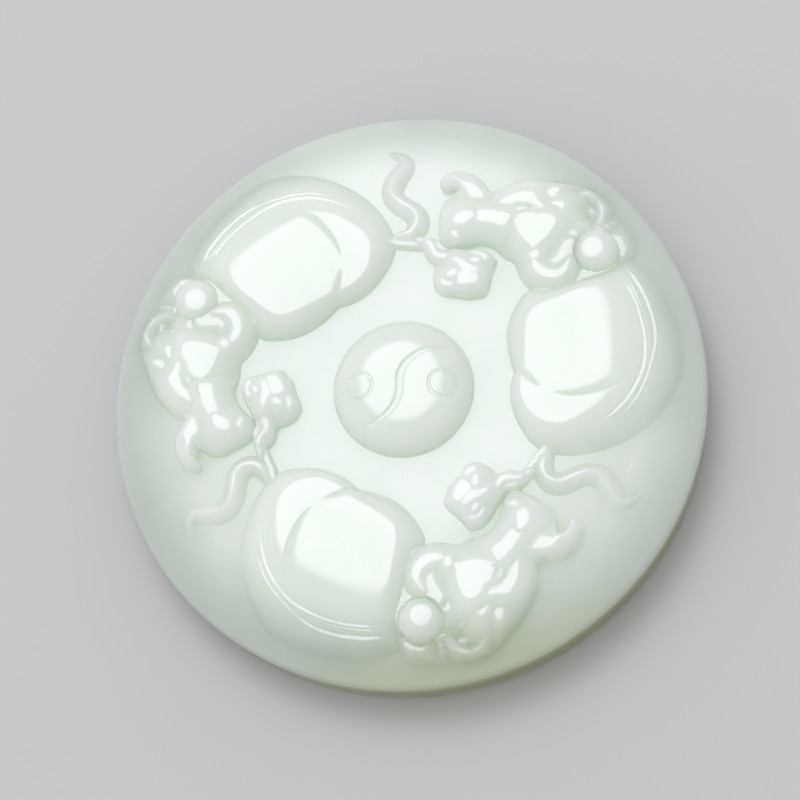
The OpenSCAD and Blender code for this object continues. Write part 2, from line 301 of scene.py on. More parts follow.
# Ribbons with a level ridge: rows of x, y, half width, height and half width of the ridge
RIBBONS = [
    # tail
    [[14.35, -5.9, 0.4, 0.4, 0.1], [14.15, -6.5, 0.7, 1.1, 0.18], [13.8, -7.2, 0.9, 1.35, 0.17],
     [13.65, -8, 1, 1.4, 0.15], [14, -8.8, 1.1, 1.42, 0.13], [14.7, -9.3, 1.12, 1.45, 0.12],
     [15.5, -9.35, 1.15, 1.45, 0.12], [16.3, -8.98, 1.12, 1.45, 0.11],
     [17.3, -8.45, 1.1, 1.45, 0.1], [18.3, -8.22, 1.1, 1.42, 0.09],
     [19.2, -8.6, 1.15, 1.35, 0.06], [19.95, -9.5, 1.15, 1.1, 0.06],
     [20.35, -10.4, 1.1, 0.9, 0.1], [20.95, -11, 0.9, 0.7, 0.1], [21.75, -11, 0.6, 0.5, 0.1],
     [22.7, -10.3, 0.3, 0.25, 0.05]],
    # foot beside the stem
    [[-2.2, 15.2, 0.5, 0.9, 0.15], [-1.2, 14.85, 0.5, 0.8, 0.18], [-0.3, 14.8, 0.5, 0.8, 0.2],
     [0.5, 14.75, 0.5, 0.8, 0.2], [1.1, 14.6, 0.4, 0.8, 0.15]]]
RIBBON_ROUND = 0.03  # rounding where the slope beside the ridge begins
RIBBON_REACH = 1.4

# Dips behind the belly and the haunch, left of the line: rows of x, y, depth and width
DIPS = [
    [[10.4, 1.75, 0.3, 0.5], [11.2, 1.2, 0.25, 0.5], [12, 0.65, 0.2, 0.45], [12.8, 0.1, 0.12, 0.35],
     [13.5, -0.3, 0, 0.3]],
    [[14.75, -0.85, 0.03, 0.2], [15.85, -1.07, 0.1, 0.25], [16.85, -1.12, 0.16, 0.35],
     [17.85, -1.02, 0.2, 0.45], [18.85, -0.77, 0.22, 0.55], [19.85, -0.42, 0.22, 0.6],
     [20.65, -0.02, 0.18, 0.6], [21.4, 0.5, 0.1, 0.6], [22, 1, 0, 0.6]]]
DIP_LIP = 0.1  # width of the lip on the other side of the line
DIP_FULL = 0.6  # a dip is shallower where the body is lower than this

# Narrow ledges along the spine: rows of x, y and half width
LEDGES = [
    [[19.4, 12.3, 0.1], [20, 11.75, 0.11], [20.64, 10.99, 0.12], [21.46, 9.85, 0.12],
     [22.11, 8.6, 0.12], [22.63, 7.03, 0.12], [23.01, 5.52, 0.12], [23.18, 3.9, 0.13],
     [23.15, 2.5, 0.14], [22.87, 1.2, 0.15], [22.42, 0.1, 0.15], [21.87, -1, 0.14],
     [21.15, -1.95, 0.12], [20.26, -2.85, 0.1], [19.33, -3.6, 0.08], [18.26, -4.41, 0.03]],
    [[19.7, 12.75, 0.05], [20.2, 12.1, 0.06], [20.87, 11.34, 0.07], [21.72, 10.15, 0.07],
     [22.4, 8.75, 0.07], [23.02, 7.1, 0.07], [23.38, 5.5, 0.06], [23.5, 4.2, 0.05],
     [23.45, 3, 0.03]],
    [[20.3, 13.3, 0.08], [20.75, 12.7, 0.1], [21.58, 11.43, 0.14], [22.39, 10.35, 0.17],
     [23, 9.1, 0.17], [23.6, 7.67, 0.15], [24.02, 6.02, 0.14], [24.12, 4.64, 0.12],
     [23.95, 3.3, 0.11], [23.61, 1.82, 0.1], [23.16, 0.31, 0.1], [22.56, -1.02, 0.09],
     [21.79, -2.1, 0.07], [21.11, -2.94, 0.03]]]
LEDGE_EDGE = 0.09  # slope beside a ledge
LEDGE_REACH = 0.3

# Cut lines: rows of x, y, depth and half width
CUTS = [
    # upper lid of the eye
    [[10.15, 18.25, 0.03, 0.06], [10.6, 18.5, 0.14, 0.1], [11.3, 18.45, 0.14, 0.1],
     [12, 18.1, 0.1, 0.1], [12.5, 17.8, 0.02, 0.06]],
    # lower lid
    [[10.2, 17.75, 0.03, 0.06], [10.7, 17.55, 0.12, 0.09], [11.4, 17.65, 0.12, 0.09],
     [12, 17.85, 0.03, 0.06]],
    # fold between nose and eye
    [[8.5, 17.75, 0.03, 0.06], [9.5, 17.6, 0.12, 0.08], [10.2, 17.3, 0.14, 0.1],
     [10.7, 16.95, 0.04, 0.08]]]
CUT_REACH = 0.35
CUT_OVER = 0.2  # only stone that stands higher than this is cut

# Pearl between the horn and the back, and the polished cap on it
PEARL = (18.27, 13.78)
PEARL_R = 2.12
PEARL_EDGE = 0.01  # keeps its outermost ring
PEARL_FOOT = 1.25
PEARL_H = 1
PEARL_CAP = (17.9, 13.74)
PEARL_CAP_R = 0.9
PEARL_BEND = 0.035  # how much the cap is domed

# Groove that parts the boss: rows of x, y, depth and half width
BOSS_GROOVE = [
    [4.9, 3.55, 0.03, 0.22], [4.34, 3.65, 0.2, 0.27], [3.46, 3.76, 0.32, 0.32],
    [2.12, 3.52, 0.36, 0.36], [0.8, 2.62, 0.38, 0.4], [0, 1.51, 0.38, 0.45],
    [-0.17, 0.5, 0.38, 0.46], [-0.05, -0.7, 0.38, 0.44], [-0.43, -2.05, 0.36, 0.4],
    [-1.25, -3.09, 0.32, 0.36], [-2.37, -3.89, 0.22, 0.3], [-3.2, -4.2, 0.08, 0.24],
    [-3.9, -4.35, 0.02, 0.22]]
GROOVE_WALL = 0.2  # width of its sloping walls

# Rings cut around the eyes of the boss: x, y and radius
BOSS_EYES = [[-4.05, -0.19, 1.27], [4.01, 0.12, 1.32]]
EYE_CUT = 0.26  # depth
EYE_HALF_W = 0.22
EYE_WALL = 0.14  # width of their sloping walls

# Finish of the stone: faint clouds in its colour and a faintly wavy polish
CLOUD_SCALE = 90
CLOUD_DETAIL = 4
CLOUD_ROUGHNESS = 0.55
CLOUD_DISTORTION = 0.6
CLOUD_STOPS = [(0.35, (0.76, 0.838, 0.755, 1)), (0.68, (0.80, 0.873, 0.79, 1))]
WAVE_SCALE = 260
WAVE_DETAIL = 1
WAVE_STRENGTH = 0.08
WAVE_DEPTH = 0.00004
STONE = {
    "Subsurface Weight": 1,
    "Subsurface Radius": (1.0, 1.1, 0.85),
    "Subsurface Scale": 0.008,
    "IOR": 1.62,
    "Roughness": 0.06}

# Painted shade: the stone's colour gets darker towards the rim, standing in for the light that falls
# off there, in metres
RIM_SHADE_AROUND = (0.0004, 0.0006, 0.006)
RIM_SHADE_FROM = 0.023
RIM_SHADE_TO = 0.031
RIM_SHADE_TINT = (0.46, 0.48, 0.495, 1)

# Painted light: the colour turns yellower along one direction towards the rim, like light shining
# through the stone there
LOWER_RIM_WAY = (0.25, -0.97, 0)
THROUGH_LIGHT_FROM = 0.0215
THROUGH_LIGHT_TO = 0.03
THROUGH_LIGHT_TINT = (0.97, 0.96, 0.77, 1)

# Painted shade: the side is darkened to olive, more towards its bottom, on the same half of the disc
# and not on the flat back
SIDE_SHADE_TOP = 0.0064
SIDE_SHADE_LOW = 0.0036
SIDE_SHADE_FROM = -0.002
SIDE_SHADE_TO = 0.02
SIDE_SHADE_COLOUR = (0.26, 0.28, 0.115, 1)
SIDE_SHADE_FACING = (-0.9, -0.4)  # upward share of a normal, from the back to the side

# Camera of the photo: the directions to its right, up and back, and its place in millimetres
CAMERA_RIGHT = (0.98722, 0.04723, -0.15221)
CAMERA_UP = (0, 0.95507, 0.29637)
CAMERA_BACK = (0.15937, -0.29258, 0.94286)
CAMERA_PLACE = (33.45, -63.05, 206.7)
CAMERA_LENS = 99
CAMERA_SENSOR = 36
CAMERA_CLIP = (0.01, 10)

# Softbox that the flats mirror into the camera, dimmer towards its edges, in metres
SOFTBOX_WAY = Vector((-0.160, 0.350, 0.923)).normalized()
SOFTBOX_FAR = 0.6
SOFTBOX_HALF = (0.195, 0.21)
SOFTBOX_EDGE = 0.5  # from its middle to its edge, in its own coordinates
SOFTBOX_FADE = 0.5  # share of that over which it gets dimmer
SOFTBOX_WATTS = 1.78
SOFTBOX_COLOUR = (0.98, 0.97, 1.05)

# Pale room, brighter on the side of the window, and a pale floor
ROOM_WAY = Vector((-0.62, 0.35, 0.70)).normalized()
ROOM_COLOUR = (0.62, 0.62, 0.62, 1)
ROOM_DIM = 0.58
ROOM_BRIGHT = 1.44
FLOOR_HALF = 2000  # in millimetres
FLOOR_COLOUR = (0.62, 0.62, 0.62, 1)
FLOOR_ROUGHNESS = 0.9


# Below, p is points, q is points in the frame of the first ox, rows is a line, d a distance


# Line with its corners rounded off by cutting them twice
def eased(rows, closed):
    rows = np.array(rows, float)
    for _ in range(2):
        here = rows if closed else rows[:-1]
        after = np.roll(rows, -1, 0) if closed else rows[1:]
        pairs = np.stack([0.75 * here + 0.25 * after, 0.25 * here + 0.75 * after], 1)
        cut = pairs.reshape(-1, rows.shape[1])
        rows = cut if closed else np.concatenate([rows[:1], cut, rows[-1:]])
    return rows


def eased_lines(table):
    return [eased(rows, False) for rows in table]


# Foot line, greatest height and flats of a form, with their corners eased
def form(foot, top, flats, bands):
    areas = [(level, steep, eased(rows, True), True) for level, steep, rows in flats]
    lines = [(level, steep, eased(rows, False), False) for level, steep, rows in bands]
    return eased(foot, True), top, areas + lines


HEAD = form(HEAD_FOOT, HEAD_TOP, HEAD_FLATS, HEAD_BANDS)
FUNGUS = form(FUNGUS_FOOT, FUNGUS_TOP, FUNGUS_FLATS, FUNGUS_BANDS)
BODY_LINE = eased(BODY_FOOT, True)
BODY_CROWN = eased(BODY_TOP, True)
RIBBON_LINES = eased_lines(RIBBONS)
DIP_LINES = eased_lines(DIPS)
LEDGE_LINES = eased_lines(LEDGES)
CUT_LINES = eased_lines(CUTS)
GROOVE_LINE = eased(BOSS_GROOVE, False)


# The same line with points about one LINE_STEP apart
def evenly(rows, closed):
    if closed:
        rows = np.concatenate([rows, rows[:1]])
    run = np.concatenate([[0], np.cumsum(np.hypot(*np.diff(rows[:, :2], axis=0).T))])
    count = max(2, int(round(run[-1] / LINE_STEP)))
    at = np.linspace(0, run[-1], count + 1)
    out = np.stack([np.interp(at, run, rows[:, c]) for c in range(rows.shape[1])], 1)
    return out[:-1] if closed else out


# The two lines that lie beside a line at the distance half
def beside(rows, half):
    run = np.gradient(rows[:, :2], axis=0)
    run /= away(run)[:, None]
    across = np.stack([-run[:, 1], run[:, 0]], 1) * half[:, None]
    return [rows[:, :2] + across, rows[:, :2] - across]


def unit_circle(count):
    turn = np.linspace(0, 2 * math.pi, count, endpoint=False)
    return np.stack([np.cos(turn), np.sin(turn)], 1)


# Distance of each point from a place, or from the middle of the disc
def away(p, place=(0, 0)):
    return np.hypot(p[:, 0] - place[0], p[:, 1] - place[1])


# Indices of the points that lie in a line's box, widened by reach
def close_to(p, rows, reach):
    low, high = rows[:, :2].min(0) - reach, rows[:, :2].max(0) + reach
    return np.flatnonzero(((p > low) & (p < high)).all(1))


# Whether each point lies inside a closed line
def inside(p, rows):
    x, y = p[:, 0], p[:, 1]
    odd = np.zeros(len(p), bool)
    for (ax, ay), (bx, by) in zip(rows[:, :2], np.roll(rows[:, :2], -1, 0)):
        if ay != by:
            odd ^= ((ay > y) != (by > y)) & (x < ax + (y - ay) * (bx - ax) / (by - ay))
    return odd


# Distance from each point to a line, the line's row there, and its side, 1 for left
def nearest(p, rows, closed):
    after = np.roll(rows, -1, 0) if closed else rows[1:]
    best = np.full(len(p), np.inf)
    found = np.zeros((len(p), rows.shape[1]))
    side = np.zeros(len(p))
    for a, b in zip(rows, after):
        run = b[:2] - a[:2]
        t = np.clip((p - a[:2]) @ run / (run @ run), 0, 1)
        gx = p[:, 0] - a[0] - t * run[0]
        gy = p[:, 1] - a[1] - t * run[1]
        d = gx * gx + gy * gy
        closer = d < best
        best[closer] = d[closer]
        found[closer] = a + t[closer, None] * (b - a)
        side[closer] = np.sign(run[0] * gy - run[1] * gx)[closer]
    return np.sqrt(best), found, side


def mix(a, b, t):
    return a + (b - a) * t


# Share from 0 to 1 while the value goes from low to high
def ramp(value, low, high):
    return np.clip((value - low) / (high - low), 0, 1)


# Smaller of two heights, with the corner between them rounded
def lower_of(a, b, soft):
    t = np.clip(0.5 + 0.5 * (b - a) / soft, 0, 1)
    return mix(b, a, t) - soft * t * (1 - t)


# Parabola that rises from 0 to 1 and ends level
def bow(t):
    return 1 - (1 - t) ** 2


# Rise of a rounded wall over its width, from 0 at its foot to 1
def arch(t):
    t = np.clip(t, 0, 1)
    return ARCH_SHARES[0] * np.sqrt(bow(t)) + ARCH_SHARES[1] * bow(t)


# How far the stone falls at a distance d outside a flat
def fall(d, steep):
    d = d - FLAT_SPREAD
    return steep * 0.5 * (d + np.sqrt(d * d + FALL_ROUND)) + FALL_BEND * np.maximum(d, 0) ** 2


# Distance from the ridge of a ribbon, with a small rounding where it begins
def ridge_run(d):
    return np.sqrt(d ** 2 + RIBBON_ROUND ** 2) - RIBBON_ROUND


# Height of the bare ground at a radius, with the rounding towards the side
def ground(r):
    dome = GROUND_Z - GROUND_DROP * (np.clip(r - LEVEL_R, 0, None) / (DISC_R - LEVEL_R)) ** 2
    over = np.clip(r - DISC_R + FRONT_ROUND, 0, None)
    return dome - FRONT_ROUND + np.sqrt(FRONT_ROUND ** 2 - over ** 2)


# The same at each point, also for those beyond the disc
def ground_at(p):
    return ground(np.minimum(away(p), DISC_R))


# What a flat at the radius c gains at the radius r by leaning inwards from level
def leaning(c, r, lean):
    return ground(c) - ground(np.minimum(r, DISC_R)) + lean * c * (r - c)


# Height of the body over the ground, without its dips and ledges
def body_rise(p):
    depth = nearest(p, BODY_LINE, True)[0]
    to_crown = nearest(p, BODY_CROWN, True)[0]
    on_crown = inside(p, BODY_CROWN)
    width = depth + np.where(on_crown, 0, to_crown)
    t = depth / np.maximum(width, SMALL)
    tilt = np.clip(CROWN_TILT * width / BODY_H, 0, CROWN_TILT_MOST)
    rise = mix(mix(arch(t), bow(t), ramp(width, BODY_NARROW, BODY_WIDE)), t, tilt)
    r = np.maximum(away(p), BODY_LEVEL_R)
    past = np.maximum(r - BODY_EASE_R, 0)
    r = r - past + BODY_EASE * (1 - np.exp(-past / BODY_EASE))
    most = BODY_H + leaning(BODY_MIDDLE_R, r, LEAN / 2)
    edge = np.where(on_crown, np.exp(-to_crown / CROWN_EASE), rise)
    return most * rise - CROWN_TILT * CROWN_EASE * edge


# Lowers the body on the left of a line, with a narrow lip on its right
def add_dip(p, rows, rise):
    d, at, side = nearest(p, rows, False)
    dip = np.where(side > 0, np.exp(-d / at[:, 3]), np.maximum(0, 1 - d / DIP_LIP))
    rise -= at[:, 2] * dip * np.clip(rise / DIP_FULL, 0, 1)


# Levels the body along a line
def add_ledge(p, rows, rise):
    some = close_to(p, rows, LEDGE_REACH)
    if not len(some):
        return
    d, at, _ = nearest(p[some], rows, False)
    hit = d < at[:, 2] + LEDGE_EDGE
    some, d, at = some[hit], d[hit], at[hit]
    level = body_rise(at[:, :2]) + leaning(away(at), away(p[some]), LEAN)
    share = np.clip((at[:, 2] + LEDGE_EDGE - d) / LEDGE_EDGE, 0, 1)
    rise[some] = mix(rise[some], level, share)


def add_body(q, height):
    near = close_to(q, BODY_LINE, 0)
    near = near[inside(q[near], BODY_LINE)]
    if not len(near):
        return
    p = q[near]
    rise = body_rise(p)
    for rows in DIP_LINES:
        add_dip(p, rows, rise)
    for rows in LEDGE_LINES:
        add_ledge(p, rows, rise)
    height[near] = rise


# Adds a form with flats on top, and nothing outside its foot
def add_form(q, shape, height):
    foot, top, flats = shape
    near = close_to(q, foot, 0)
    near = near[inside(q[near], foot)]
    if not len(near):
        return
    p = q[near]
    depth, at_foot, _ = nearest(p, foot, True)
    wide = at_foot[:, 2]
    t = np.clip(depth / wide, 0, 1)
    wall = top * mix(arch(t), bow(t), np.clip(wide - BOW_FROM, 0, 1))
    crown = np.full(len(p), -1.0)
    for level, steep, rows, area in flats:
        some = close_to(p, rows, FLAT_REACH)
        if not len(some):
            continue
        d, at, _ = nearest(p[some], rows, area)
        if area:
            d = np.where(inside(p[some], rows), -d, d)
            c = np.hypot(rows[:, 0].mean(), rows[:, 1].mean())
        else:
            d = d - at[:, 2] - BAND_SPREAD
            c = away(at)
        stone = level + leaning(c, away(p[some]), LEAN) - fall(d, steep)
        crown[some] = np.maximum(crown[some], stone)
    rise = np.maximum(lower_of(wall, crown, WALL_BLEND), 0)
    height[near] = np.maximum(height[near], rise)


# Lets the body and the head run out softly towards the rim
def soften_foot(q, height):
    share = ramp(away(q), *SOFT_R)
    soft = SOFT_FOOT * share * ramp(q[:, 0], *SOFT_X) * np.interp(q[:, 1], *SOFT_SHARE) + SMALL
    low = height < soft
    height[low] = height[low] ** 2 * (2 * soft[low] - height[low]) / soft[low] ** 2


def add_ribbon(q, rows, height):
    near = close_to(q, rows, RIBBON_REACH)
    if not len(near):
        return
    d, at, _ = nearest(q[near], rows, False)
    half, top, ridge = at[:, 2], at[:, 3], at[:, 4]
    slope = ridge_run(np.maximum(d - ridge, 0)) / ridge_run(half - ridge)
    level = top + leaning(away(at), away(q[near]), LEAN)
    height[near] = np.maximum(height[near], level * (1 - slope))


def add_pearl(q, height):
    near = np.flatnonzero(away(q, PEARL) < PEARL_R + PEARL_EDGE)
    p = q[near]
    from_cap = away(p, PEARL_CAP)
    past = np.maximum(from_cap - PEARL_CAP_R, 0)
    t = past / (past + np.maximum(PEARL_R - away(p, PEARL), 0) + TINY)
    dome = PEARL_H - PEARL_BEND * from_cap ** 2 * (1 - t)
    lean = leaning(math.hypot(*PEARL), away(p), LEAN)
    height[near] = PEARL_FOOT + lean + dome * np.sqrt(1 - t * t)


def cut_line(q, rows, height):
    near = close_to(q, rows, CUT_REACH)
    near = near[height[near] > CUT_OVER]
    if not len(near):
        return
    d, at, _ = nearest(q[near], rows, False)
    height[near] -= at[:, 2] * (0.5 + 0.5 * np.cos(np.pi * np.minimum(d / at[:, 3], 1)))


# Height of one ox over the ground
def ox_height(q):
    height = np.zeros(len(q))
    add_body(q, height)
    add_form(q, HEAD, height)
    soften_foot(q, height)
    add_form(q, FUNGUS, height)
    for rows in RIBBON_LINES:
        add_ribbon(q, rows, height)
    add_pearl(q, height)
    for rows in CUT_LINES:
        cut_line(q, rows, height)
    return height


# Height of the boss over the ground, with its groove and eyes
def boss_height(p):
    height = np.zeros(len(p))
    near = np.flatnonzero(away(p) < BOSS_R)
    p = p[near]
    rise = BOSS_H * np.sqrt(1 - (away(p) / BOSS_R) ** BOSS_FULL)
    d, at, _ = nearest(p, GROOVE_LINE, False)
    rise -= at[:, 2] * np.clip((at[:, 3] - d) / GROOVE_WALL, 0, 1)
    for x, y, eye_r in BOSS_EYES:
        d = np.abs(away(p, (x, y)) - eye_r)
        rise -= EYE_CUT * np.clip((EYE_HALF_W - d) / EYE_WALL, 0, 1)
    height[near] = rise
    return height


# Points turned by k thirds of a circle
def turned(p, k):
    a = 2 * math.pi * k / OXEN
    return p @ np.array([[math.cos(a), math.sin(a)], [-math.sin(a), math.cos(a)]])


# Height of all that stands over the ground
def relief(p):
    return np.max([boss_height(p)] + [ox_height(turned(p, k)) for k in range(OXEN)], axis=0)


# Lines of one ox that the mesh follows: points, whether closed, whether a foot
def ox_lines():
    out = [(evenly(rows, True), True, True) for rows in (HEAD[0], FUNGUS[0], BODY_LINE)]
    out += [(evenly(rows, False), False, False) for rows in DIP_LINES + CUT_LINES]
    for rows in RIBBON_LINES:
        rows = evenly(rows, False)
        out += [(line, False, True) for line in beside(rows, rows[:, 2])]
        out += [(line, False, False) for line in beside(rows, rows[:, 4])]
    bands = [rows for _, _, rows, area in HEAD[2] + FUNGUS[2] if not area]
    for rows in LEDGE_LINES + bands:
        rows = evenly(rows, False)
        out += [(line, False, False) for line in beside(rows, rows[:, 2])]
    around = unit_circle(int(2 * math.pi * PEARL_R / LINE_STEP))
    out.append((np.array(PEARL) + PEARL_R * around, True, False))
    return out


# The same for the boss
def boss_lines():
    around = unit_circle(BOSS_COUNT)
    out = [(BOSS_R * around, True, False)]
    rows = evenly(GROOVE_LINE, False)
    for half in (rows[:, 3], rows[:, 3] - GROOVE_WALL):
        out += [(line, False, False) for line in beside(rows, half)]
    for x, y, eye_r in BOSS_EYES:
        for half in (-EYE_HALF_W, EYE_WALL - EYE_HALF_W, EYE_HALF_W - EYE_WALL, EYE_HALF_W):
            out.append((np.array([x, y]) + (eye_r + half) * around[::EYE_SHARE], True, False))
    return out


# Points on all lines, and the edges between them
def line_mesh():
    lines = [(turned(rows[:, :2], -k), closed, foot)
             for rows, closed, foot in ox_lines() for k in range(OXEN)]
    points, edges = [], []
    count = 0
    for rows, closed, foot in lines + boss_lines():
        use = away(rows) < FACE_R - LINE_MARGIN
        if foot:
            use &= relief(rows) < FOOT_HIDDEN
        number = np.full(len(rows), -1)
        number[use] = count + np.arange(use.sum())
        last = len(rows) if closed else len(rows) - 1
        for s in range(last):
            a, b = number[s], number[(s + 1) % len(rows)]
            if a >= 0 and b >= 0:
                edges.append((int(a), int(b)))
        points.append(rows[use])
        count += int(use.sum())
    return np.concatenate(points), edges


# Place of a lattice point: i steps to the right and j steps 60 degrees from there
def lattice(i, j):
    return STEP * (i + 0.5 * j), STEP * math.sqrt(3) / 2 * j


# Height of the face at the lattice points, worked out for a third and repeated
def lattice_height(i, j, n):
    x, y = lattice(i, j)
    r = np.hypot(x, y)
    turn = np.arctan2(y, x) % (2 * math.pi)
    third = (r < FACE_R + LATTICE_OVER * STEP) & (turn < 2 * math.pi / OXEN + TINY)
    height = relief(np.stack([x[third], y[third]], 1))
    z = np.zeros(x.shape)
    a, b = i[third], j[third]
    for _ in range(OXEN):
        z[a + n, b + n] = height
        a, b = -a - b, a
    return z + ground(np.minimum(r, DISC_R))


# How far a lattice point lies off the mean of the six that are s steps away
def bend(z, s):
    out = np.zeros(z.shape)
    m, low, high = slice(s, -s), slice(None, -2 * s), slice(2 * s, None)
    around = z[high, m] + z[low, m] + z[m, high] + z[m, low] + z[high, low] + z[low, high]
    out[m, m] = np.abs(around / 6 - z[m, m])
    return out


# The marked lattice points and all that are up to so many steps away
def widened(mask, times):
    for _ in range(times):
        grown = mask.copy()
        for step in ((1, 0), (-1, 0), (0, 1), (0, -1), (1, -1), (-1, 1)):
            grown |= np.roll(mask, step, (0, 1))
        mask = grown
    return mask


# Unmarks the lattice points that lie too close to a point of the lines
def clear_beside(points, keep, n):
    j = points[:, 1] / (STEP * math.sqrt(3) / 2)
    i = points[:, 0] / STEP - 0.5 * j
    for di in (-1, 0, 1):
        for dj in (-1, 0, 1):
            a, b = np.round(i).astype(int) + di, np.round(j).astype(int) + dj
            x, y = lattice(a, b)
            hit = np.hypot(x - points[:, 0], y - points[:, 1]) < CLEAR_SHARE * STEP
            keep[a[hit] + n, b[hit] + n] = False


# Points and triangles of the face, from its lines and a lattice that is finer where it bends
def face_mesh():
    n = int(FACE_R / STEP / math.cos(math.pi / 6)) + LATTICE_OVER + 1
    i, j = np.meshgrid(np.arange(-n, n + 1), np.arange(-n, n + 1), indexing="ij")
    x, y = lattice(i, j)
    z = lattice_height(i, j, n)
    fine = widened(bend(z, 1) > FINE_BEND, FINE_WIDER)
    middle = widened((bend(z, 2) > MIDDLE_BEND) | fine, MIDDLE_WIDER)
    second = (i % 2 == 0) & (j % 2 == 0)
    fourth = (i % 4 == 0) & (j % 4 == 0)
    keep = (fine | (middle & second) | fourth) & (np.hypot(x, y) < FACE_R - LATTICE_MARGIN)
    points, edges = line_mesh()
    clear_beside(points, keep, n)
    first = len(points)
    edges += [(first + s, first + (s + 1) % RIM_COUNT) for s in range(RIM_COUNT)]
    rim = FACE_R * unit_circle(RIM_COUNT)
    every = np.concatenate([points, rim, np.stack([x[keep], y[keep]], 1)])
    out = delaunay_2d_cdt([Vector(v) for v in every.tolist()], edges, [], 0, MERGE_GAP)
    flat = np.array([v[:] for v in out[0]])
    return np.column_stack([flat, relief(flat) + ground_at(flat)]), out[2]


def add_object(name, data):
    obj = bpy.data.objects.new(name, data)
    bpy.context.scene.collection.objects.link(obj)
    return obj


# Object of points in millimetres
def mesh_object(name, points, faces):
    mesh = bpy.data.meshes.new(name)
    mesh.from_pydata((np.asarray(points) * MM).tolist(), [], faces)
    mesh.validate()
    return add_object(name, mesh)


# Rounded side and flat back, with a flat lid where the face begins, and its height
def side_and_back():
    turns = np.linspace(0, math.pi / 2, FRONT_COUNT, endpoint=False)
    rows = [DISC_R - FRONT_ROUND * (1 - math.sin(a)) for a in turns]
    rows = [(r, float(ground(r))) for r in rows]
    low = GROUND_Z - GROUND_DROP - FRONT_ROUND
    rows += [(DISC_R, low), (DISC_R, (low + BACK_ROUND) / 2)]
    rows += [(DISC_R - BACK_ROUND * (1 - math.cos(a)), BACK_ROUND * (1 - math.sin(a)))
             for a in np.linspace(0, math.pi / 2, BACK_COUNT)]
    points = [(r * x, r * y, z) for r, z in rows for x, y in unit_circle(RIM_COUNT)]
    rings = [range(k * RIM_COUNT, (k + 1) * RIM_COUNT) for k in range(len(rows))]
    faces = [tuple(rings[0])]
    for above, below in zip(rings, rings[1:]):
        for s in range(RIM_COUNT):
            t = (s + 1) % RIM_COUNT
            faces.append((above[s], below[s], below[t], above[t]))
    faces.append(tuple(reversed(rings[-1])))
    return mesh_object("side", points, faces), rows[0][1]


def cut_hole(obj):
    run = Vector((0, HOLE_IN, HOLE_UP))
    centre = Vector((0, DISC_R - HOLE_IN, 0)) + run / 2
    bpy.ops.mesh.primitive_cylinder_add(
        vertices=HOLE_SIDES, radius=HOLE_R * MM, depth=(run.length + HOLE_OVER) * MM,
        location=centre * MM, rotation=run.to_track_quat("Z", "Y").to_euler())
    cutter = bpy.context.object
    cut = obj.modifiers.new("hole", "BOOLEAN")
    cut.object = cutter
    cut.solver = "EXACT"
    cut.operation = "DIFFERENCE"
    evaluated = obj.evaluated_get(bpy.context.evaluated_depsgraph_get())
    mesh = bpy.data.meshes.new_from_object(evaluated)
    obj.modifiers.clear()
    obj.data = mesh
    bpy.data.objects.remove(cutter)


# One skin from the face and the side, joined along their common ring
def jade_mesh():
    side, lid_z = side_and_back()
    cut_hole(side)
    face = mesh_object("face", *face_mesh())
    bm = bmesh.new()
    bm.from_mesh(side.data)
    lids = [f for f in bm.faces if all(abs(v.co.z - lid_z * MM) < LID_GAP for v in f.verts)]
    bmesh.ops.delete(bm, geom=lids, context="FACES_ONLY")
    bm.from_mesh(face.data)
    bmesh.ops.remove_doubles(bm, verts=bm.verts, dist=JOIN_GAP)
    bmesh.ops.recalc_face_normals(bm, faces=bm.faces)
    mesh = bpy.data.meshes.new("jade_pendant_carving")
    bm.to_mesh(mesh)
    bm.free()
    bpy.data.objects.remove(side)
    bpy.data.objects.remove(face)
    mesh.polygons.foreach_set("use_smooth", np.ones(len(mesh.polygons), bool))
    mesh.set_sharp_from_angle(angle=math.radians(SHARP_ANGLE))
    return add_object("jade_pendant_carving", mesh)


# Adds a node with its settings, and sets each input or links it to a socket
def add_node(tree, kind, inputs=None, **settings):
    node = tree.nodes.new("ShaderNode" + kind)
    for name, value in settings.items():
        setattr(node, name, value)
    for name, value in (inputs or {}).items():
        if isinstance(value, bpy.types.NodeSocket):
            tree.links.new(value, node.inputs[name])
        else:
            node.inputs[name].default_value = value
    return node


# Share from 0 to 1 while the value goes from low to high
def share_node(tree, value, low, high, kind="LINEAR"):
    inputs = {"Value": value, "From Min": low, "From Max": high}
    return add_node(tree, "MapRange", inputs, interpolation_type=kind).outputs[0]


# Sockets of a Mix node: its share, its two colours and its result
MIX_SHARE, MIX_FIRST, MIX_SECOND, MIX_RESULT = 0, 6, 7, 2


# The first colour turned into the second by a share, or multiplied by it
def colour_node(tree, share, first, second, kind="MIX"):
    inputs = {MIX_SHARE: share, MIX_FIRST: first, MIX_SECOND: second}
    node = add_node(tree, "Mix", inputs, data_type="RGBA", blend_type=kind)
    return node.outputs[MIX_RESULT]


def product_node(tree, first, second):
    return add_node(tree, "Math", {0: first, 1: second}, operation="MULTIPLY").outputs[0]


def cloud_colour(tree, place):
    clouds = add_node(tree, "TexNoise", {
        "Vector": place, "Scale": CLOUD_SCALE, "Detail": CLOUD_DETAIL,
        "Roughness": CLOUD_ROUGHNESS, "Distortion": CLOUD_DISTORTION})
    tint = add_node(tree, "ValToRGB", {"Fac": clouds.outputs["Fac"]})
    for stop, (position, colour) in zip(tint.color_ramp.elements, CLOUD_STOPS):
        stop.position = position
        stop.color = colour
    return tint.outputs["Color"]
